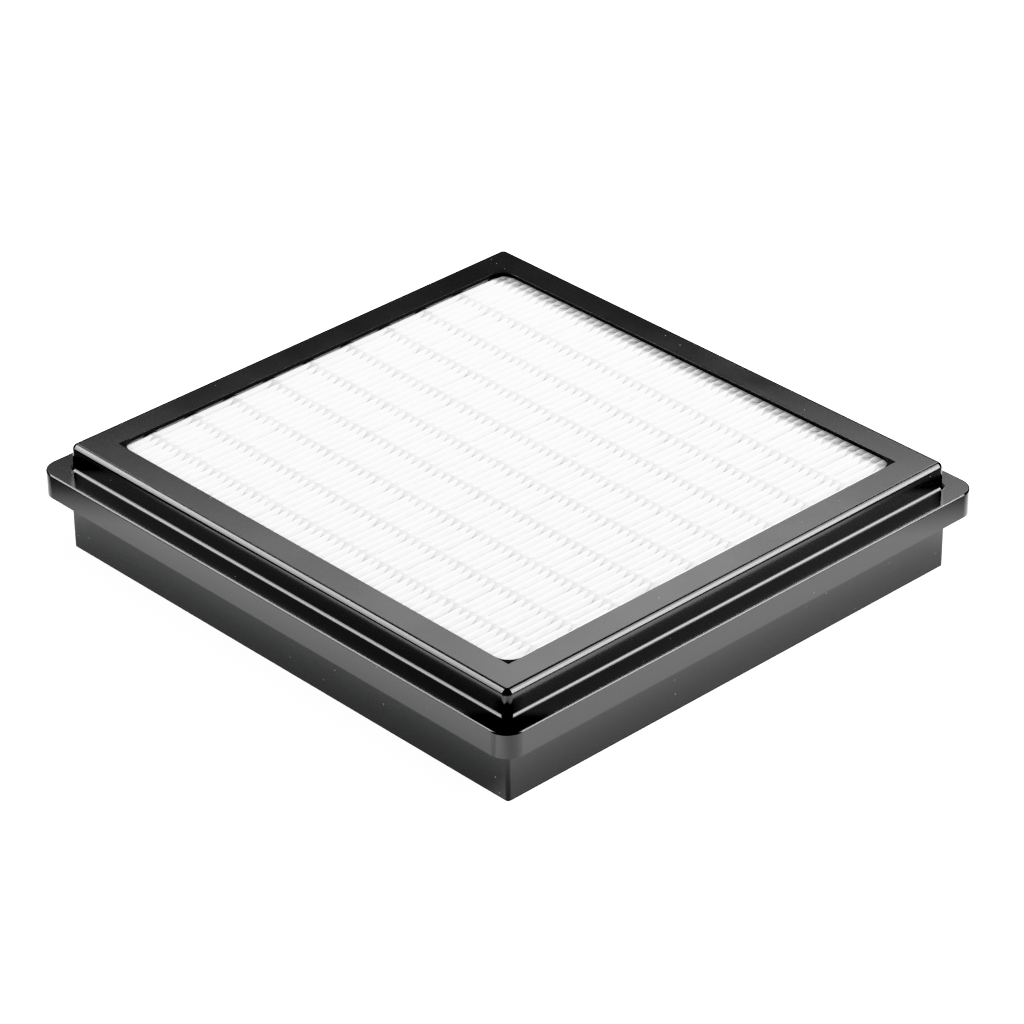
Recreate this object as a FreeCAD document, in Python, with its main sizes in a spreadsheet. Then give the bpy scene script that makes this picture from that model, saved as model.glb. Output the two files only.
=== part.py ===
"""HEPA filter cassette: a glossy moulded frame round a pleated pack.

Millimetres, +Z up. The origin is at the middle of the footprint, on the plane that the frame
stands on. X runs along the longer side, across the folds. Y runs along the folds.
"""
import FreeCAD, Part
import Sketcher

import math
import os
from FreeCAD import Vector

doc = FreeCAD.newDocument("filter_cassette")

# Driving dimensions: name, value, what it is
SIZES = [
    ("collar_length", 213.4, "collar at its top, along X"),
    ("collar_width", 200.0, "collar at its top, along Y"),
    ("frame_height", 40.0, "standing plane to the top face"),
    ("collar_height", 9.5, "top face down to the flange"),
    ("collar_corner", 2.5, "radius of the collar's upright corners"),
    ("collar_round", 2.0, "round along the collar's top outer edge"),
    ("collar_taper", 1.0, "mould draft of the collar wall, degrees"),
    ("flange_reach", 8.1, "flange beyond the collar's top outline"),
    ("flange_depth", 9.1, "height of the flange's skirt"),
    ("flange_corner", 7.0, "radius of the flange's upright corners"),
    ("flange_round", 0.6, "round along the flange's top outer edge"),
    ("skirt_wall", 2.0, "thickness of the flange's skirt"),
    ("flange_plate", 2.2, "thickness of the flange's top"),
    ("junction_round", 1.1, "hollow round between collar and flange"),
    ("body_step", 0.7, "top of the body wall beyond the collar's top outline"),
    ("body_corner", 1.2, "radius of the body's upright corners"),
    ("body_taper", 0.4, "mould draft of the body wall, degrees"),
    ("frame_wall", 2.2, "collar wall at the top"),
    ("cavity_corner", 1.0, "radius of the corners inside the frame"),
    ("top_plate", 1.3, "thickness of the border round the window"),
    ("border_width", 11.75, "collar's top outline to the window"),
    ("window_corner", 6.0, "radius of the window's corners"),
    ("window_bevel", 0.12, "bevel along the window's upper edge"),
    ("pleat_pitch", 3.47, "ridge to ridge"),
    ("media_thickness", 0.4, "filter sheet"),
    ("fold_radius", 1.6, "outside of each fold"),
    ("pack_height", 35.0, "lowest fold to highest fold"),
    ("pack_headroom", 0.45, "ridges to the border above them"),
    ("potting_width", 2.0, "sealant between pack and frame, at the fold ends"),
    ("potting_height", 12.0, "height of the sealant ring"),
    ("bead_near_margin", 21.8, "near ends of the folds to the first glue thread"),
    ("bead_far_margin", 10.5, "last glue thread to the far ends of the folds"),
    ("bead_width", 2.0, "upper thread, along the folds"),
    ("bead_rise", 0.38, "top of the upper thread above the ridges"),
    ("bead_skin", 0.14, "upper thread where it passes over a ridge"),
    ("lower_bead_width", 2.2, "lower thread, along the folds"),
    ("lower_bead_depth", 0.8, "lower thread, below the folds"),
]
BEAD_COUNT = 10

sheet = doc.addObject("Spreadsheet::Sheet", "sizes")
for row, (alias, value, meaning) in enumerate(SIZES, start=1):
    sheet.set("A%d" % row, alias)
    sheet.set("B%d" % row, str(value))
    sheet.set("C%d" % row, meaning)
    sheet.setAlias("B%d" % row, alias)
doc.recompute()


def size(alias):
    """A driving dimension as a number."""
    return float(sheet.get(alias))


def bind(target, prop, formula):
    """Bind a property to a formula in which each size is written as {name}."""
    names = {alias: "sizes.%s" % alias for alias, value, meaning in SIZES}
    target.setExpression(prop, formula.format(**names))


# Formulas that several pieces share
FLANGE_TOP = "({frame_height} - {collar_height})"
FLANGE_BOTTOM = "({frame_height} - {collar_height} - {flange_depth})"
PLATE_BOTTOM = "({frame_height} - {top_plate})"
CAVITY_LENGTH = "({collar_length} - 2 * {frame_wall})"
CAVITY_WIDTH = "({collar_width} - 2 * {frame_wall})"
PACK_WIDTH = "({collar_width} - 2 * {frame_wall} - 2 * {potting_width})"
PACK_BOTTOM = "({frame_height} - {top_plate} - {pack_headroom} - {pack_height})"

# As many whole folds as fit, with sealant at both ends
FOLD_COUNT = math.floor((size("collar_length") - 2 * size("frame_wall")
                         - 2 * size("potting_width")) / size("pleat_pitch"))
PACK_LENGTH = "(%d * {pleat_pitch})" % FOLD_COUNT


def new_sketch(body, name, level):
    """An empty sketch parallel to XY at a height."""
    sketch = body.newObject("Sketcher::SketchObject", name)
    plane = [f for f in body.Origin.OriginFeatures if f.Role == "XY_Plane"][0]
    sketch.AttachmentSupport = (plane, "")
    sketch.MapMode = "FlatFace"
    bind(sketch, "AttachmentOffset.Base.z", level)
    return sketch


def drive(sketch, name, constraint, formula):
    """Add a dimension to a sketch and bind it to a formula."""
    index = sketch.addConstraint(constraint)
    sketch.renameConstraint(index, name)
    bind(sketch, "Constraints.%s" % name, formula)


def draw_sides(sketch, half, reach):
    """The four sides of a centred rectangle, anticlockwise from the top one."""
    lines = [
        ((reach, half), (-reach, half)),
        ((-half, reach), (-half, -reach)),
        ((-reach, -half), (reach, -half)),
        ((half, -reach), (half, reach)),
    ]
    sides = []
    for (x1, y1), (x2, y2) in lines:
        segment = Part.LineSegment(Vector(x1, y1, 0), Vector(x2, y2, 0))
        sides.append(sketch.addGeometry(segment, False))
    for turn, direction in enumerate(["Horizontal", "Vertical", "Horizontal", "Vertical"]):
        sketch.addConstraint(Sketcher.Constraint(direction, sides[turn]))
    return sides


def centre_and_size(sketch, name, sides, half, length, width):
    """Centre a rectangle on the origin and drive its length and width."""
    sketch.addConstraint(Sketcher.Constraint("Symmetric", sides[0], 1, sides[2], 1, -1, 1))
    across = Sketcher.Constraint("DistanceX", sides[1], 1, sides[3], 1, 2 * half)
    drive(sketch, name + "_length", across, length)
    along = Sketcher.Constraint("DistanceY", sides[2], 1, sides[0], 1, 2 * half)
    drive(sketch, name + "_width", along, width)


def rounded_loop(sketch, name, length, width, corner, half=80.0):
    """A centred rectangle with four equal tangent corners."""
    radius = 5.0
    reach = half - radius
    arcs = []
    for turn, (sx, sy) in enumerate([(1, 1), (-1, 1), (-1, -1), (1, -1)]):
        circle = Part.Circle(Vector(sx * reach, sy * reach, 0), Vector(0, 0, 1), radius)
        begin = turn * math.pi / 2
        arc = Part.ArcOfCircle(circle, begin, begin + math.pi / 2)
        arcs.append(sketch.addGeometry(arc, False))
    sides = draw_sides(sketch, half, reach)
    for turn in range(4):
        following = arcs[(turn + 1) % 4]
        sketch.addConstraint(Sketcher.Constraint("Tangent", arcs[turn], 2, sides[turn], 1))
        sketch.addConstraint(Sketcher.Constraint("Tangent", sides[turn], 2, following, 1))
    for other in arcs[1:]:
        sketch.addConstraint(Sketcher.Constraint("Equal", arcs[0], other))
    centre_and_size(sketch, name, sides, half, length, width)
    drive(sketch, name + "_corner", Sketcher.Constraint("Radius", arcs[0], radius), corner)


def sharp_loop(sketch, name, length, width, half=60.0):
    """A centred rectangle with sharp corners."""
    sides = draw_sides(sketch, half, half)
    for turn in range(4):
        following = sides[(turn + 1) % 4]
        sketch.addConstraint(Sketcher.Constraint("Coincident", sides[turn], 2, following, 1))
    centre_and_size(sketch, name, sides, half, length, width)


def outline(body, name, level, length, width, corner):
    """A sketch that holds one rounded rectangle."""
    sketch = new_sketch(body, name, level)
    rounded_loop(sketch, name, length, width, corner)
    doc.recompute()
    return sketch


def pad(body, name, sketch, height, taper=None):
    """Raise a sketch by a height. A positive taper widens it as it rises."""
    feature = body.newObject("PartDesign::Pad", name)
    feature.Profile = sketch
    bind(feature, "Length", height)
    if taper:
        bind(feature, "TaperAngle", taper)
    doc.recompute()
    return feature


def pocket(body, name, sketch, depth):
    """Cut a sketch upwards by a depth, and make sure that it removed something."""
    before = body.Shape.Volume
    feature = body.newObject("PartDesign::Pocket", name)
    feature.Profile = sketch
    feature.Reversed = True
    bind(feature, "Length", depth)
    doc.recompute()
    if body.Shape.Volume > before - 1.0:
        raise RuntimeError("%s removed nothing" % name)
    return feature


def edge_ring(shape, level, half_length, half_width):
    """The names of a rounded rectangle's edges at a height."""
    near = 0.2
    names = []
    for number, edge in enumerate(shape.Edges, start=1):
        box = edge.BoundBox
        flat = abs(box.ZMin - level) < 0.01 and abs(box.ZMax - level) < 0.01
        far_x = max(abs(box.XMin), abs(box.XMax))
        far_y = max(abs(box.YMin), abs(box.YMax))
        on_long_side = abs(far_x - half_length) < near and far_y < half_width + near
        on_short_side = abs(far_y - half_width) < near and far_x < half_length + near
        if flat and (on_long_side or on_short_side):
            names.append("Edge%d" % number)
    return names


def fillet(body, name, base, radius, names):
    """Round the named edges of the feature before."""
    if not names:
        raise RuntimeError("%s found no edges" % name)
    feature = body.newObject("PartDesign::Fillet", name)
    feature.Base = (base, names)
    bind(feature, "Radius", radius)
    doc.recompute()
    return feature


def make_frame():
    """The moulding: body wall, hollow flange and collar, with its cavity and its window."""
    body = doc.addObject("PartDesign::Body", "frame")

    foot_step = "({body_step} - tan({body_taper} * 1 deg) * %s)" % FLANGE_BOTTOM
    foot = outline(body, "body_outline", "0",
                   "({collar_length} + 2 * %s)" % foot_step,
                   "({collar_width} + 2 * %s)" % foot_step, "{body_corner}")
    pad(body, "body_block", foot, FLANGE_BOTTOM, "{body_taper}")

    flange = outline(body, "flange_outline", FLANGE_BOTTOM,
                     "({collar_length} + 2 * {flange_reach})",
                     "({collar_width} + 2 * {flange_reach})", "{flange_corner}")
    pad(body, "flange_block", flange, "{flange_depth}")

    collar_step = "(tan({collar_taper} * 1 deg) * {collar_height})"
    collar = outline(body, "collar_outline", FLANGE_TOP,
                     "({collar_length} + 2 * %s)" % collar_step,
                     "({collar_width} + 2 * %s)" % collar_step, "{collar_corner}")
    pad(body, "collar_block", collar, "{collar_height}", "-{collar_taper}")

    cavity = outline(body, "cavity_outline", "0", CAVITY_LENGTH, CAVITY_WIDTH,
                     "{cavity_corner}")
    pocket(body, "cavity", cavity, PLATE_BOTTOM)

    window = outline(body, "window_outline", PLATE_BOTTOM,
                     "({collar_length} - 2 * {border_width})",
                     "({collar_width} - 2 * {border_width})", "{window_corner}")
    pocket(body, "window", window, "{top_plate}")

    # The flange is hollow from below, so that it moulds as an even wall
    hollow = new_sketch(body, "flange_hollow_outline", FLANGE_BOTTOM)
    rounded_loop(hollow, "skirt_inside",
                 "({collar_length} + 2 * {flange_reach} - 2 * {skirt_wall})",
                 "({collar_width} + 2 * {flange_reach} - 2 * {skirt_wall})",
                 "({flange_corner} - {skirt_wall})")
    rounded_loop(hollow, "body_outside",
                 "({collar_length} + 2 * {body_step})",
                 "({collar_width} + 2 * {body_step})", "{body_corner}", half=60.0)
    doc.recompute()
    shell = pocket(body, "flange_hollow", hollow, "({flange_depth} - {flange_plate})")

    top = size("frame_height")
    shelf = top - size("collar_height")
    half_length = size("collar_length") / 2
    half_width = size("collar_width") / 2
    reach = size("flange_reach")
    border = size("border_width")
    draw = math.tan(math.radians(size("collar_taper"))) * size("collar_height")
    crown = fillet(body, "crown", shell, "{collar_round}",
                   edge_ring(shell.Shape, top, half_length, half_width))
    junction = fillet(body, "junction", crown, "{junction_round}",
                      edge_ring(crown.Shape, shelf, half_length + draw, half_width + draw))
    rim = fillet(body, "flange_rim", junction, "{flange_round}",
                 edge_ring(junction.Shape, shelf, half_length + reach, half_width + reach))
    bevel = body.newObject("PartDesign::Chamfer", "window_rim")
    bevel.Base = (rim, edge_ring(rim.Shape, top, half_length - border, half_width - border))
    bind(bevel, "Size", "{window_bevel}")
    doc.recompute()
    return body


def face_through(points):
    """A flat face inside a closed run of points."""
    return Part.Face(Part.makePolygon(points + points[:1]))


def section(name, face):
    """A flat face, kept in the document as the base of an extrusion."""
    feature = doc.addObject("Part::Feature", name)
    feature.Shape = face
    return feature


def extrusion(name, base, length):
    """A section drawn out along Y, half of it to each side."""
    feature = doc.addObject("Part::Extrusion", name)
    feature.Base = base
    feature.DirMode = "Custom"
    feature.Dir = Vector(0, 1, 0)
    feature.Solid = True
    feature.Symmetric = True
    bind(feature, "LengthFwd", length)
    return feature


def folded_sheet():
    """The section of the folded sheet.

    Each leg is straight and touches the round of a ridge above and of a valley below. A fold
    is creased: its round is a few flat strips, the most of them where it is open to view. The
    sheet's two edges lie at the bottom of the outermost valleys.
    """
    ridge_strips = 8
    valley_strips = 4
    inside_strips = 2
    pitch = size("pleat_pitch")
    outer = size("fold_radius")
    inner = outer - size("media_thickness")
    top = size("frame_height") - size("top_plate") - size("pack_headroom")
    ridge_level = top - outer
    valley_level = top - size("pack_height") + outer
    run = pitch / 2
    drop = ridge_level - valley_level
    lean = math.asin((outer + inner) / math.hypot(run, drop)) - math.atan2(run, drop)
    wide = math.pi / 2 + lean

    def fold(x, radius, up, strips):
        """Points round a fold, from its left leg to its right leg, over or under."""
        level = ridge_level if up > 0 else valley_level
        angles = [wide * (2 * step / strips - 1) for step in range(strips + 1)]
        return [Vector(x + radius * math.sin(a), 0, level + up * radius * math.cos(a))
                for a in angles]

    end = FOLD_COUNT * pitch / 2
    upper = []
    lower = []
    for number in range(FOLD_COUNT):
        x = (number + 0.5) * pitch - end
        upper += fold(x, outer, 1, ridge_strips)
        lower += fold(x, inner, 1, inside_strips)
        if number < FOLD_COUNT - 1:
            upper += fold(x + run, inner, -1, inside_strips)
            lower += fold(x + run, outer, -1, valley_strips)
    # The outermost valleys are cut through their middle
    first_upper = [p for p in fold(-end, inner, -1, inside_strips) if p.x > -end]
    last_upper = [p for p in fold(end, inner, -1, inside_strips) if p.x < end]
    first_lower = fold(-end, outer, -1, valley_strips)[valley_strips // 2:]
    last_lower = fold(end, outer, -1, valley_strips)[:valley_strips // 2 + 1]
    cut_left = Vector(-end, 0, first_upper[0].z)
    cut_right = Vector(end, 0, last_upper[-1].z)
    upper = [cut_left] + first_upper + upper + last_upper + [cut_right]
    lower = first_lower + lower + last_lower
    return face_through(upper + lower[::-1])


def glue_comb():
    """The section of an upper glue thread.

    Its flat top bridges the ridges, and a tooth fills the upper part of each valley. Each
    side of a tooth touches the round of a ridge.
    """
    pitch = size("pleat_pitch")
    radius = size("fold_radius")
    crest = size("frame_height") - size("top_plate") - size("pack_headroom")
    top = crest + size("bead_rise")
    arch = top - size("bead_skin")
    slope = math.acos(radius / (radius + arch - crest))
    tooth = arch - pitch / 2 * math.tan(slope)
    end = FOLD_COUNT * pitch / 2
    points = [Vector(-end, 0, top), Vector(-end, 0, tooth)]
    for number in range(FOLD_COUNT):
        ridge = (number + 0.5) * pitch - end
        points += [Vector(ridge, 0, arch), Vector(ridge + pitch / 2, 0, tooth)]
    points.append(Vector(end, 0, top))
    return face_through(points)


def bead_place(number):
    """Where a glue thread lies along Y, as a formula: all of them are evenly spaced."""
    span = "(%s - {bead_near_margin} - {bead_far_margin})" % PACK_WIDTH
    return "(%d / %d * %s + {bead_near_margin} - %s / 2)" % (
        number, BEAD_COUNT - 1, span, PACK_WIDTH)


def make_upper_beads():
    """The glue threads over the ridges, all of one section."""
    comb = section("bead_section", glue_comb())
    beads = []
    for number in range(BEAD_COUNT):
        bead = extrusion("upper_bead_%d" % (number + 1), comb, "{bead_width}")
        bind(bead, "Placement.Base.y", bead_place(number))
        beads.append(bead)
    return beads


def make_lower_beads():
    """The glue threads that run straight under the lower folds."""
    beads = []
    for number in range(BEAD_COUNT):
        bead = doc.addObject("Part::Box", "lower_bead_%d" % (number + 1))
        bind(bead, "Length", PACK_LENGTH)
        bind(bead, "Width", "{lower_bead_width}")
        bind(bead, "Height", "{lower_bead_depth}")
        bind(bead, "Placement.Base.x", "-%s / 2" % PACK_LENGTH)
        bind(bead, "Placement.Base.y", "%s - {lower_bead_width} / 2" % bead_place(number))
        bind(bead, "Placement.Base.z", "%s - {lower_bead_depth}" % PACK_BOTTOM)
        beads.append(bead)
    return beads


def make_potting():
    """The ring of sealant that fills the gap between the pack and the frame, low down."""
    body = doc.addObject("PartDesign::Body", "potting")
    ring = new_sketch(body, "potting_outline", PACK_BOTTOM)
    rounded_loop(ring, "outside", CAVITY_LENGTH, CAVITY_WIDTH, "{cavity_corner}")
    sharp_loop(ring, "inside", PACK_LENGTH, PACK_WIDTH)
    doc.recompute()
    pad(body, "potting_ring", ring, "{potting_height}")
    return body


def check_document():
    """Stop at the first object that failed to compute."""
    for thing in doc.Objects:
        if "Invalid" in thing.State or "Error" in thing.State:
            raise RuntimeError("%s failed: %s" % (thing.Name, thing.State))


def check_piece(piece):
    """Stop if a piece has no shape, a faulty shape or no solid."""
    shape = piece.Shape
    if shape.isNull() or not shape.isValid() or not shape.Solids:
        raise RuntimeError("%s has no valid solid" % piece.Label)


frame = make_frame()
media = extrusion("pleated_media", section("fold_section", folded_sheet()), PACK_WIDTH)
pieces = [frame, media] + make_upper_beads() + make_lower_beads() + [make_potting()]
for piece in pieces:
    piece.Label = piece.Name
doc.recompute()
check_document()
for piece in pieces:
    check_piece(piece)

os.makedirs("parts", exist_ok=True)
for piece in pieces:
    piece.Shape.exportStep(os.path.join("parts", piece.Label + ".step"))
    box = piece.Shape.BoundBox
    print("%-16s %8.1f mm3  X %.2f..%.2f  Y %.2f..%.2f  Z %.2f..%.2f" % (
        piece.Label, piece.Shape.Volume, box.XMin, box.XMax, box.YMin, box.YMax,
        box.ZMin, box.ZMax))
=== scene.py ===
"""The looks of a pleated filter cassette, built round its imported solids.

Metres, +Z up. Folds run along Y, glue threads along X.
"""

import math

import bpy
import numpy as np
from mathutils import Matrix, Vector, noise


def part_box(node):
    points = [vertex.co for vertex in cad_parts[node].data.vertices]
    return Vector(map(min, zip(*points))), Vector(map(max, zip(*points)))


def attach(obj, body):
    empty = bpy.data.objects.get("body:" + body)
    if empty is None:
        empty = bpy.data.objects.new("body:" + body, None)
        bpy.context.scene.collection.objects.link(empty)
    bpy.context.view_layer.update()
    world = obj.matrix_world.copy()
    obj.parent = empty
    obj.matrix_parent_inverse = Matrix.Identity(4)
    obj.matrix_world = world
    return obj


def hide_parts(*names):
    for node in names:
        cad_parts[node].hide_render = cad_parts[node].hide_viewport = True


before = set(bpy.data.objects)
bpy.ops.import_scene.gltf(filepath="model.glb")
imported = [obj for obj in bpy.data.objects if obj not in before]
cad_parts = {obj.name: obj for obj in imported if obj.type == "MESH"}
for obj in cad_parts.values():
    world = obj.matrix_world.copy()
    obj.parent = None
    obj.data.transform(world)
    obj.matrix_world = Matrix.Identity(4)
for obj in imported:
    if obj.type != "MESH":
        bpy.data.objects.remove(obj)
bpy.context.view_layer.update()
bpy.ops.object.select_all(action="DESELECT")
MM = 0.001


# The frame is one moulding in glossy black plastic: body wall, hollow flange and collar, with the
# window's border on top. The border and the flange's corners have a fine texture with less gloss.
# The mould left a faint waviness all over, and a few specks of dust lie on it.
def plain_material(name, colour, roughness):
    """A principled material with its own sockets set, and its nodes and links."""
    made = bpy.data.materials.new(name)
    made.use_nodes = True
    shader = made.node_tree.nodes["Principled BSDF"]
    shader.inputs["Base Color"].default_value = (*colour, 1.0)
    shader.inputs["Roughness"].default_value = roughness
    return made, shader, made.node_tree.nodes, made.node_tree.links


def grain(nodes, links, scale, detail):
    """A noise pattern on the piece's own coordinates, with a scale for each axis."""
    place = nodes.new("ShaderNodeTexCoord")
    spread = nodes.new("ShaderNodeMapping")
    spread.inputs["Scale"].default_value = scale
    pattern = nodes.new("ShaderNodeTexNoise")
    pattern.inputs["Scale"].default_value = 1.0
    pattern.inputs["Detail"].default_value = detail
    links.new(place.outputs["Object"], spread.inputs["Vector"])
    links.new(spread.outputs["Vector"], pattern.inputs["Vector"])
    return pattern.outputs["Fac"]


def spread_over(nodes, links, source, low, high, start=0.3, end=0.7):
    """A value that runs from low to high while a pattern runs from start to end."""
    ramp = nodes.new("ShaderNodeMapRange")
    for socket, value in zip(("From Min", "From Max", "To Min", "To Max"), (start, end, low, high)):
        ramp.inputs[socket].default_value = value
    links.new(source, ramp.inputs["Value"])
    return ramp.outputs["Result"]


def shades(nodes, links, source, dark, light, shader, start=0.3, end=0.7):
    """Colour the surface between two shades as a pattern runs from start to end."""
    ramp = nodes.new("ShaderNodeValToRGB")
    ramp.color_ramp.elements[0].position = start
    ramp.color_ramp.elements[0].color = (*dark, 1.0)
    ramp.color_ramp.elements[1].position = end
    ramp.color_ramp.elements[1].color = (*light, 1.0)
    links.new(source, ramp.inputs["Fac"])
    links.new(ramp.outputs["Color"], shader.inputs["Base Color"])


def relief(nodes, links, source, shader, depth):
    """Raise the surface by a depth as a pattern does."""
    bump = nodes.new("ShaderNodeBump")
    bump.inputs["Strength"].default_value = 1.0
    bump.inputs["Distance"].default_value = depth
    links.new(source, bump.inputs["Height"])
    links.new(bump.outputs["Normal"], shader.inputs["Normal"])


PLASTIC_BLACK = (0.006, 0.006, 0.0061)
DUST_GREY = (0.4, 0.4, 0.39)
DUST_PER_METRE = 190.0
DUST_SIZE = 0.028
WINDOW_REACH = (95.09 * MM, 88.39 * MM)
WALL_ROUGHNESS = (0.13, 0.17)
RIM_ROUGHNESS = 0.55
WALL_GLOSS = 0.5
TEXTURED_GLOSS = 0.12
LEVEL_FROM = (0.97, 0.995)
CORNER_FROM = (200 * MM, 206 * MM)
BORDER_FROM = (34 * MM, 36 * MM)
CLOUDS_PER_METRE = (30, 30, 30)
WAVES_PER_METRE = (85, 85, 85)
WAVE_DEPTH = 0.006 * MM
black_plastic, shader, nodes, links = plain_material("black_plastic", PLASTIC_BLACK, WALL_ROUGHNESS[1])
cloudy = grain(nodes, links, CLOUDS_PER_METRE, 2.0)
place = nodes.new("ShaderNodeTexCoord")
size_off = nodes.new("ShaderNodeVectorMath")
size_off.operation = "ABSOLUTE"
links.new(place.outputs["Object"], size_off.inputs[0])
beside = nodes.new("ShaderNodeSeparateXYZ")
links.new(size_off.outputs[0], beside.inputs[0])
rim = nodes.new("ShaderNodeMath")
rim.operation = "MULTIPLY"
for number, (axis, reach) in enumerate(zip("XY", WINDOW_REACH)):
    inside = nodes.new("ShaderNodeMath")
    inside.operation = "LESS_THAN"
    inside.inputs[1].default_value = reach
    links.new(beside.outputs[axis], inside.inputs[0])
    links.new(inside.outputs[0], rim.inputs[number])
gloss = nodes.new("ShaderNodeMix")
gloss.inputs["B"].default_value = RIM_ROUGHNESS
links.new(rim.outputs[0], gloss.inputs["Factor"])
links.new(spread_over(nodes, links, cloudy, *WALL_ROUGHNESS), gloss.inputs["A"])
links.new(gloss.outputs["Result"], shader.inputs["Roughness"])
facing = nodes.new("ShaderNodeNewGeometry")
upward = nodes.new("ShaderNodeSeparateXYZ")
links.new(facing.outputs["Normal"], upward.inputs["Vector"])
textured = spread_over(nodes, links, upward.outputs["Z"], WALL_GLOSS, TEXTURED_GLOSS, *LEVEL_FROM)
cornerwise = nodes.new("ShaderNodeVectorMath")
cornerwise.operation = "DOT_PRODUCT"
cornerwise.inputs[1].default_value = (1, 1, 0)
links.new(size_off.outputs[0], cornerwise.inputs[0])
at_corner = spread_over(nodes, links, cornerwise.outputs["Value"], WALL_GLOSS, WALL_GLOSS, *CORNER_FROM)
links.new(textured, at_corner.node.inputs["To Max"])
on_border = spread_over(nodes, links, beside.outputs["Z"], WALL_GLOSS, WALL_GLOSS, *BORDER_FROM)
links.new(at_corner, on_border.node.inputs["To Min"])
links.new(textured, on_border.node.inputs["To Max"])
links.new(on_border, shader.inputs["Specular IOR Level"])
dust = nodes.new("ShaderNodeTexVoronoi")
dust.inputs["Scale"].default_value = DUST_PER_METRE
links.new(place.outputs["Object"], dust.inputs["Vector"])
shades(nodes, links, dust.outputs["Distance"], DUST_GREY, PLASTIC_BLACK, shader,
       DUST_SIZE * 0.6, DUST_SIZE)
relief(nodes, links, grain(nodes, links, WAVES_PER_METRE, 1.0), shader, WAVE_DEPTH)
frame_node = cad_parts["frame"]
frame_node.data.materials.clear()
frame_node.data.materials.append(black_plastic)


# The media is one long sheet of white nonwoven, folded to and fro into 59 ridges. The glue threads
# pinch every ridge where they cross it, and between them the ridges belly out and lean a little.
# Its ends are cut on a slant, so the ridges stop at the window and the foot reaches the sealant.
FOLD_COUNT = 59
PLEAT_PITCH = 3.47 * MM
MEDIA_THICKNESS = 0.4 * MM
RIDGE_RADIUS = 1.6 * MM
RIDGE_PINCH = 0.06 * MM
RIDGE_LEAN = -0.45 * MM
RIDGE_WANDER = 0.3 * MM
RIDGE_SWELL = 0.10 * MM
RIDGE_UNEVEN = 0.14 * MM
SLOW_LENGTH = 22 * MM
QUICK_LENGTH = 7 * MM
RIDGE_SINK = 0.06 * MM
THREAD_SINK = 0.05 * MM
LAST_THREAD = 6.0
VALLEY_RADIUS = 1.6 * MM
BEAD_PITCH = 17.7 * MM
BEAD_SHIFT = 5.65 * MM
BEAD_COUNT = 10
BEAD_REACH = 2.2 * MM
TIP_REACH = 88.45 * MM
TIP_ROUND = 0.85 * MM
TIP_SINK = 0.3 * MM
RIDGE_STEPS = 8
VALLEY_STEPS = 4
FOLD_TURN = math.radians(93)
ROW_SHARES = (-1.2, -0.45, 0.45, 1.2)
bead_places = [BEAD_SHIFT + (n - (BEAD_COUNT - 1) / 2) * BEAD_PITCH for n in range(BEAD_COUNT)]
media_low, media_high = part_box("pleated_media")
half_pack = FOLD_COUNT * PLEAT_PITCH / 2


def pinch(y):
    """How hard a ridge is pinched at a place along it: 1 at a thread, and more at the last."""
    near = [math.exp(-((y - place) / BEAD_REACH) ** 2) for place in bead_places]
    return sum(near[:-1]) + LAST_THREAD * near[-1]


def ridge(number, y):
    """A ridge at one place along it: its middle, the height of its crest and its outer radius."""
    near = pinch(y)
    slow = noise.noise(Vector((number * 0.83, y / SLOW_LENGTH, 1.7)))
    quick = noise.noise(Vector((number * 3.1, y / QUICK_LENGTH, 5.2)))
    sideways = RIDGE_LEAN + RIDGE_WANDER * (1.6 * slow + 0.9 * quick * (1 - 0.6 * near))
    radius = RIDGE_RADIUS - RIDGE_PINCH * near + RIDGE_SWELL * quick * (1 - near)
    own_height = noise.noise(Vector((number * 1.37, 0.3, 9.1)))
    crest = media_high.z - RIDGE_SINK - THREAD_SINK * near + RIDGE_UNEVEN * min(own_height, 0)
    crest -= TIP_SINK * max(0, (abs(y) - TIP_REACH + TIP_ROUND) / TIP_ROUND) ** 2
    middle = (number + 0.5) * PLEAT_PITCH - half_pack + sideways
    return middle, crest, radius


def fold_section(number, y):
    """The sheet's middle from one valley, over a ridge, to the next valley, at one place."""
    middle, crest, radius = ridge(number, y)
    bend = radius - MEDIA_THICKNESS / 2
    level = crest - MEDIA_THICKNESS / 2 - bend
    low_bend = VALLEY_RADIUS - MEDIA_THICKNESS / 2
    low_level = media_low.z + VALLEY_RADIUS
    left = number * PLEAT_PITCH - half_pack
    row = []
    for step in range(VALLEY_STEPS // 2 + 1):
        turn = FOLD_TURN * step / (VALLEY_STEPS / 2)
        row.append((left + low_bend * math.sin(turn), low_level - low_bend * math.cos(turn)))
    for step in range(RIDGE_STEPS + 1):
        turn = FOLD_TURN * (2 * step / RIDGE_STEPS - 1)
        row.append((middle + bend * math.sin(turn), level + bend * math.cos(turn)))
    for x, z in row[VALLEY_STEPS // 2:0:-1]:
        row.append((2 * left + PLEAT_PITCH - x, z))
    return row


def media_rows():
    """Places along Y that show the pinch at each thread, the belly between threads and the tips."""
    rows = [-TIP_REACH, -TIP_REACH + TIP_ROUND, (bead_places[0] - TIP_REACH) / 2,
            TIP_REACH - TIP_ROUND, TIP_REACH]
    for place in bead_places:
        rows += [place + share * BEAD_REACH for share in ROW_SHARES
                 if place + share * BEAD_REACH < TIP_REACH - TIP_ROUND]
    rows += [place + BEAD_PITCH / 2 for place in bead_places[:-1]]
    return sorted(rows)


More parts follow.
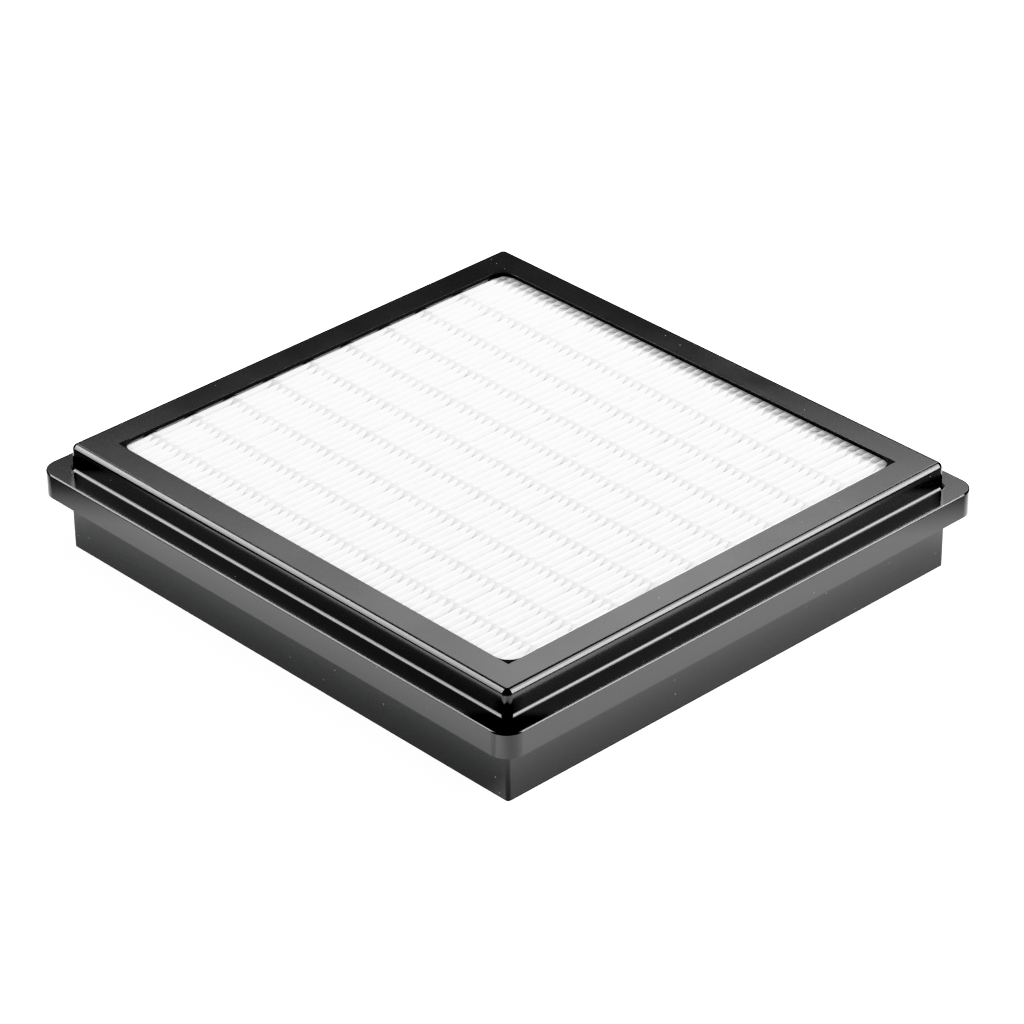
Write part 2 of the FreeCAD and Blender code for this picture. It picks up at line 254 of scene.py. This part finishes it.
rows = media_rows()
columns = FOLD_COUNT * len(fold_section(0, 0)) + 1
bpy.ops.mesh.primitive_grid_add(x_subdivisions=columns - 1, y_subdivisions=len(rows) - 1,
                                size=1.0, location=(0, 0, 0))
media = bpy.context.object
media.name = "folded_media"
places = np.zeros((len(rows), columns, 3))
for r, y in enumerate(rows):
    line = []
    for number in range(FOLD_COUNT):
        line += fold_section(number, y)
    line.append((half_pack, line[0][1]))
    places[r, :, 0] = [x for x, z in line]
    places[r, :, 1] = y
    if abs(y) == TIP_REACH:
        depth = (media_high.z - places[r, :, 2]) / (media_high.z - media_low.z)
        places[r, :, 1] = math.copysign(1, y) * (TIP_REACH + (media_high.y - TIP_REACH) * depth)
    places[r, :, 2] = [z for x, z in line]
media.data.vertices.foreach_set("co", places.reshape(-1))
media.data.update()
solid = media.modifiers.new("sheet_thickness", "SOLIDIFY")
solid.thickness = MEDIA_THICKNESS
solid.offset = 0
bpy.ops.object.modifier_apply(modifier=solid.name)
bpy.ops.object.shade_smooth()

MEDIA_WHITE = (0.86, 0.86, 0.858)
MEDIA_SHADES = ((0.82, 0.82, 0.818), (0.89, 0.89, 0.888))
FIBRES_PER_METRE = (900, 260, 900)
FIBRE_DEPTH = 0.03 * MM
MEDIA_PAINTED_GLOW = 0.05
media_white, shader, nodes, links = plain_material("filter_media", MEDIA_WHITE, 0.9)
felt = grain(nodes, links, FIBRES_PER_METRE, 4.0)
shades(nodes, links, felt, *MEDIA_SHADES, shader)
relief(nodes, links, felt, shader, FIBRE_DEPTH)
# The sheet glows faintly: painted light that lifts the shade in its deep valleys and in front of the
# threads.
shader.inputs["Emission Color"].default_value = (1, 1, 0.99, 1)
shader.inputs["Emission Strength"].default_value = MEDIA_PAINTED_GLOW
media.data.materials.append(media_white)
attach(media, "root")
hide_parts("pleated_media")


# Ten threads of clear-white hot glue lie across the ridges and dip between them, and ten more lie
# under the lower folds. Each was laid soft, so it saddles over every fold and spaces them.
THREAD_HALF = 1.05 * MM
THREAD_RISE = 0.03 * MM
THREAD_DIP = 0.24 * MM
THREAD_THICKNESS = 0.35 * MM
THREAD_DROP = 0.34 * MM
THREAD_SPREAD = 2.4
THREAD_SAG = 0.5 * MM
THREAD_STEPS = 8
THREAD_ROWS = (-1.0, -0.72, -0.3, 0.3, 0.72, 1.0)
THREAD_WEAVE = 0.22 * MM
WEAVE_LENGTH = 6 * MM
THREAD_SWELL = 0.25
SWELL_LENGTH = 5 * MM
# The glue is coloured grey: partly its own dull tone, partly painted shade for the shaded folds seen
# through the clear glue.
GLUE_GREY_AND_SHADE = ((0.62, 0.62, 0.615), (0.71, 0.71, 0.705))
MOTTLES_PER_METRE = (350, 350, 350)
MOTTLE_DEPTH = 0.05 * MM
glue_shaded_grey, shader, nodes, links = plain_material("glue", GLUE_GREY_AND_SHADE[0], 0.85)
mottled = grain(nodes, links, MOTTLES_PER_METRE, 2.0)
shades(nodes, links, mottled, *GLUE_GREY_AND_SHADE, shader)
relief(nodes, links, mottled, shader, MOTTLE_DEPTH)


def between(share):
    """How far a place is from the folds to each side of it: 0 on a fold, 1 half way."""
    return (1 - math.cos(2 * math.pi * share)) / 2


def upper_height(x, y):
    """The top of an upper thread at one place, and how far it is from the ridges there."""
    at = (x + half_pack) / PLEAT_PITCH - 0.5
    left = max(0, min(FOLD_COUNT - 1, math.floor(at)))
    right = min(FOLD_COUNT - 1, left + 1)
    left_middle, left_crest, size = ridge(left, y)
    right_middle, right_crest, size = ridge(right, y)
    if right == left or x <= left_middle:
        return left_crest + THREAD_RISE, 0
    share = min(max((x - left_middle) / (right_middle - left_middle), 0), 1)
    crest = left_crest + (right_crest - left_crest) * share
    return crest + THREAD_RISE - THREAD_DIP * between(share), between(share)


def lower_height(x, y):
    """The bottom of a lower thread at one place, and how far it is from the folds there."""
    gap = between((x + half_pack) / PLEAT_PITCH)
    return media_low.z - THREAD_DROP + THREAD_DIP * gap, gap


def lay_thread(name, number, height, inward):
    """A flat thread along X with domed edges, thickened inwards: -1 is down and 1 is up."""
    steps = FOLD_COUNT * THREAD_STEPS
    bpy.ops.mesh.primitive_grid_add(x_subdivisions=steps, y_subdivisions=len(THREAD_ROWS) - 1,
                                    size=1.0, location=(0, 0, 0))
    thread = bpy.context.object
    thread.name = name
    middle = bead_places[number]
    places = np.zeros((len(THREAD_ROWS), steps + 1, 3))
    for r, share in enumerate(THREAD_ROWS):
        for c in range(steps + 1):
            x = -half_pack + 2 * half_pack * c / steps
            weave = THREAD_WEAVE * noise.noise(Vector((x / WEAVE_LENGTH, number * 4.1, inward)))
            swell = 1 + THREAD_SWELL * noise.noise(Vector((x / SWELL_LENGTH, number * 2.3, inward + 7)))
            round_off = 1 - math.sqrt(max(0, 1 - share * share))
            z, gap = height(x, middle)
            z += inward * (round_off * THREAD_THICKNESS * 0.8 + THREAD_SAG * gap * share * share)
            reach = share * THREAD_HALF * (swell + THREAD_SPREAD * gap)
            places[r, c] = (x, middle + weave + reach, z)
    thread.data.vertices.foreach_set("co", places.reshape(-1))
    thread.data.update()
    solid = thread.modifiers.new("thread_thickness", "SOLIDIFY")
    solid.thickness = THREAD_THICKNESS
    solid.offset = inward
    bpy.ops.object.modifier_apply(modifier=solid.name)
    bpy.ops.object.shade_smooth()
    thread.data.materials.append(glue_shaded_grey)
    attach(thread, "root")
    return thread


threads = []
for number in range(BEAD_COUNT):
    upper = lay_thread("upper_thread_%d" % (number + 1), number, upper_height, -1)
    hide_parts("upper_bead_%d" % (number + 1))
    lower = lay_thread("lower_thread_%d" % (number + 1), number, lower_height, 1)
    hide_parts("lower_bead_%d" % (number + 1))
    threads += [upper, lower]


# The potting is a ring of pale sealant, poured round the foot of the pack to close it to the frame.
# It sets with small bubbles and a dull skin.
SEALANT_SHADES = ((0.62, 0.61, 0.58), (0.72, 0.71, 0.68))
BUBBLES_PER_METRE = (160, 160, 160)
BUBBLE_DEPTH = 0.1 * MM
sealant, shader, nodes, links = plain_material("sealant", SEALANT_SHADES[0], 0.6)
bubbly = grain(nodes, links, BUBBLES_PER_METRE, 3.0)
shades(nodes, links, bubbly, *SEALANT_SHADES, shader)
relief(nodes, links, bubbly, shader, BUBBLE_DEPTH)
potting_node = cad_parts["potting"]
potting_node.data.materials.clear()
potting_node.data.materials.append(sealant)


# The floor is a wide pale table top that glows. Its glow is painted: darker close round the part, a
# painted contact shadow where the walls keep light off it, brighter along the +X side, a painted pool
# of light, and darker past the two side corners, painted shade. Each shade is a direction, where it
# starts and ends along that direction, and how bright the floor is past it.
FLOOR_GLOW = 2.45
FLOOR_SHADOWED_GLOW = 1.1
FLOOR_NEAR = (0.0, 0.05)
FLOOR_PAINTED_SHADES = (((1, 0, 0), 0.095, 0.105, 1.45), ((1, 0, 0), 0.125, 0.15, 0.78),
                ((-0.61, -0.798, 0), 0.174, 0.2, 0.1), ((0.756, 0.662, 0), 0.178, 0.205, 0.25))
FOOT_REACH = (0.1073, 0.1006, 0)
bpy.ops.mesh.primitive_plane_add(size=12.0, location=(0, 0, -0.02 * MM))
floor = bpy.context.object
floor.name = "floor"
pale, shader, nodes, links = plain_material("floor_pale", (0.85, 0.85, 0.85), 0.9)
shader.inputs["Emission Color"].default_value = (1, 1, 1, 1)
place = nodes.new("ShaderNodeTexCoord")
size_off = nodes.new("ShaderNodeVectorMath")
size_off.operation = "ABSOLUTE"
links.new(place.outputs["Object"], size_off.inputs[0])
past = nodes.new("ShaderNodeVectorMath")
past.operation = "SUBTRACT"
past.inputs[1].default_value = FOOT_REACH
links.new(size_off.outputs[0], past.inputs[0])
outside = nodes.new("ShaderNodeVectorMath")
outside.operation = "MAXIMUM"
outside.inputs[1].default_value = (0, 0, 0)
links.new(past.outputs[0], outside.inputs[0])
away = nodes.new("ShaderNodeVectorMath")
away.operation = "LENGTH"
links.new(outside.outputs[0], away.inputs[0])
# The glow is turned down close round the part: a painted contact shadow.
glow = nodes.new("ShaderNodeMapRange")
glow.interpolation_type = "SMOOTHSTEP"
for socket, value in zip(("From Min", "From Max", "To Min", "To Max"),
                         (*FLOOR_NEAR, FLOOR_SHADOWED_GLOW, FLOOR_GLOW)):
    glow.inputs[socket].default_value = value
links.new(away.outputs["Value"], glow.inputs["Value"])
lit = glow.outputs["Result"]
# Painted light and shade: brighter along the +X side, darker past the two side corners.
for toward, start, end, level in FLOOR_PAINTED_SHADES:
    along = nodes.new("ShaderNodeVectorMath")
    along.operation = "DOT_PRODUCT"
    along.inputs[1].default_value = toward
    links.new(place.outputs["Object"], along.inputs[0])
    side = spread_over(nodes, links, along.outputs["Value"], 1.0, level, start, end)
    product = nodes.new("ShaderNodeMath")
    product.operation = "MULTIPLY"
    links.new(lit, product.inputs[0])
    links.new(side, product.inputs[1])
    lit = product.outputs[0]
links.new(lit, shader.inputs["Emission Strength"])
pale.cycles.emission_sampling = "NONE"
floor.data.materials.append(pale)


# Soft studio light. For the frame there is an arch of panels to each side, and a long one behind with
# a faint wide one round it for the sheen on the border. For the sheet a bright one low behind rakes
# along the folds, with a weak one in front and one at the side to fill the shadows.
def lit_group(name, pieces):
    """The pieces that a group of lights is kept to."""
    group = bpy.data.collections.new(name)
    for piece in pieces:
        group.objects.link(piece)
    return group


def panel(name, toward, along, length, width, radiance, group, distance=1.6):
    """A soft rectangular light that faces the object, its length along a direction."""
    light = bpy.data.lights.new(name, "AREA")
    light.shape = "RECTANGLE"
    light.size = length
    light.size_y = width
    light.energy = radiance * math.pi * length * width
    made = bpy.data.objects.new(name, light)
    bpy.context.scene.collection.objects.link(made)
    away = Vector(toward).normalized()
    across = away.cross(Vector(along)).normalized()
    facing = Matrix((across.cross(away), across, away)).transposed()
    made.matrix_world = Matrix.Translation(away * distance) @ facing.to_4x4()
    made.light_linking.receiver_collection = group
    return light


for_frame = lit_group("lit_for_gloss", [frame_node])
for_media = lit_group("lit_for_media", [media, potting_node] + threads)
ARCH_TOP = 99
ARCH_STEP = 27
LEFT_REACH = (-0.60, 0.78)
RIGHT_REACH = (0.525, 0.81)
LEFT_RADIANCE = (0.8, 11.0, 9.5, 6.5)
RIGHT_RADIANCE = (0.6, 7.0, 14.5, 14.0)
for step, (left_radiance, right_radiance) in enumerate(zip(LEFT_RADIANCE, RIGHT_RADIANCE)):
    rise = math.radians(ARCH_TOP - ARCH_STEP * step)
    level, height = math.cos(rise), math.sin(rise)
    panel("left_panel_%d" % step, (LEFT_REACH[0], -LEFT_REACH[1] * level, LEFT_REACH[1] * height),
          (0, height, level), 0.62, 0.74, left_radiance, for_frame)
    panel("right_panel_%d" % step, (RIGHT_REACH[1] * level, RIGHT_REACH[0], RIGHT_REACH[1] * height),
          (height, 0, -level), 0.62, 0.62, right_radiance, for_frame)
ALONG_BORDER = (0.69, 0.72, 0)
SHEEN_FADE = (0.2, 0.65, 0.6, 1.13)
sheen = panel("sheen_panel", (-0.585, 0.56, 0.622), ALONG_BORDER, 2.1, 0.66, 8.3, for_frame, 3.0)
sheen.use_nodes = True
place = sheen.node_tree.nodes.new("ShaderNodeNewGeometry")
part = sheen.node_tree.nodes.new("ShaderNodeSeparateXYZ")
fade = sheen.node_tree.nodes.new("ShaderNodeMapRange")
fade.interpolation_type = "SMOOTHSTEP"
for socket, value in zip(("From Min", "From Max", "To Min", "To Max"), SHEEN_FADE):
    fade.inputs[socket].default_value = value
sheen.node_tree.links.new(place.outputs["Parametric"], part.inputs["Vector"])
sheen.node_tree.links.new(part.outputs["X"], fade.inputs["Value"])
sheen.node_tree.links.new(fade.outputs["Result"], sheen.node_tree.nodes["Emission"].inputs["Strength"])
panel("haze_panel", (-0.6, 0.57, 0.5), ALONG_BORDER, 3.2, 1.8, 0.55, for_frame, 3.1)
panel("raking_panel", (0.05, 0.84, 0.52), (1, 0, 0), 0.8, 0.42, 23.2, for_media)
panel("fill_panel", (0.05, -0.8, 0.6), (1, 0, 0), 1.2, 0.8, 3.2, for_media)
panel("side_panel", (-0.92, 0.1, 0.38), (0, 1, 0), 1.2, 0.5, 7.6, for_media)

ROOM_GREY = (0.5, 0.5, 0.5, 1)
world = bpy.data.worlds.new("studio")
world.use_nodes = True
world.node_tree.nodes["Background"].inputs["Color"].default_value = ROOM_GREY
bpy.context.scene.world = world


# The picture is printed like a catalogue photograph: deep shadows, and whites that roll off softly.
# Each pair is a brightness in the scene and the brightness that it is printed with.
TONES = ((0.045, 0.0), (0.10, 0.022), (0.14, 0.068), (0.2, 0.148), (0.3, 0.27), (0.5, 0.48),
         (0.75, 0.74), (0.92, 0.875), (1.1, 0.955), (1.3, 0.985), (1.6, 1.0))
look = bpy.context.scene.view_settings
look.view_transform = "Standard"
look.use_curve_mapping = True
darkest = TONES[0][0]
brightest = TONES[-1][0]
look.curve_mapping.black_level = (darkest, darkest, darkest)
look.curve_mapping.white_level = (brightest, brightest, brightest)
for seen, printed in TONES[1:-1]:
    look.curve_mapping.curves[3].points.new((seen - darkest) / (brightest - darkest), printed)
look.curve_mapping.update()


# The camera stands at the photograph's place: a long lens, looking down at the near corner.
AZIMUTH, ELEVATION, ROLL = (math.radians(a) for a in (46.9385, 31.0253, -0.6999))
DISTANCE = 1.57012
LENS = 164.5
SENSOR = 36.0
AIM = (0, 0, 0.02)
AIM_RIGHT = 0.0021
AIM_UP = -0.00266
look_back = Vector((math.sin(AZIMUTH) * math.cos(ELEVATION),
                    -math.cos(AZIMUTH) * math.cos(ELEVATION), math.sin(ELEVATION)))
look_right = Vector((math.cos(AZIMUTH), math.sin(AZIMUTH), 0))
look_up = look_back.cross(look_right)
right = math.cos(ROLL) * look_right + math.sin(ROLL) * look_up
up = math.cos(ROLL) * look_up - math.sin(ROLL) * look_right
lens = bpy.data.cameras.new("camera")
lens.lens = LENS
lens.sensor_width = SENSOR
camera = bpy.data.objects.new("camera", lens)
bpy.context.scene.collection.objects.link(camera)
place = Vector(AIM) + look_back * DISTANCE + right * AIM_RIGHT + up * AIM_UP
axes = Matrix((right, up, look_back)).transposed()
camera.matrix_world = Matrix.Translation(place) @ axes.to_4x4()
bpy.context.scene.camera = camera
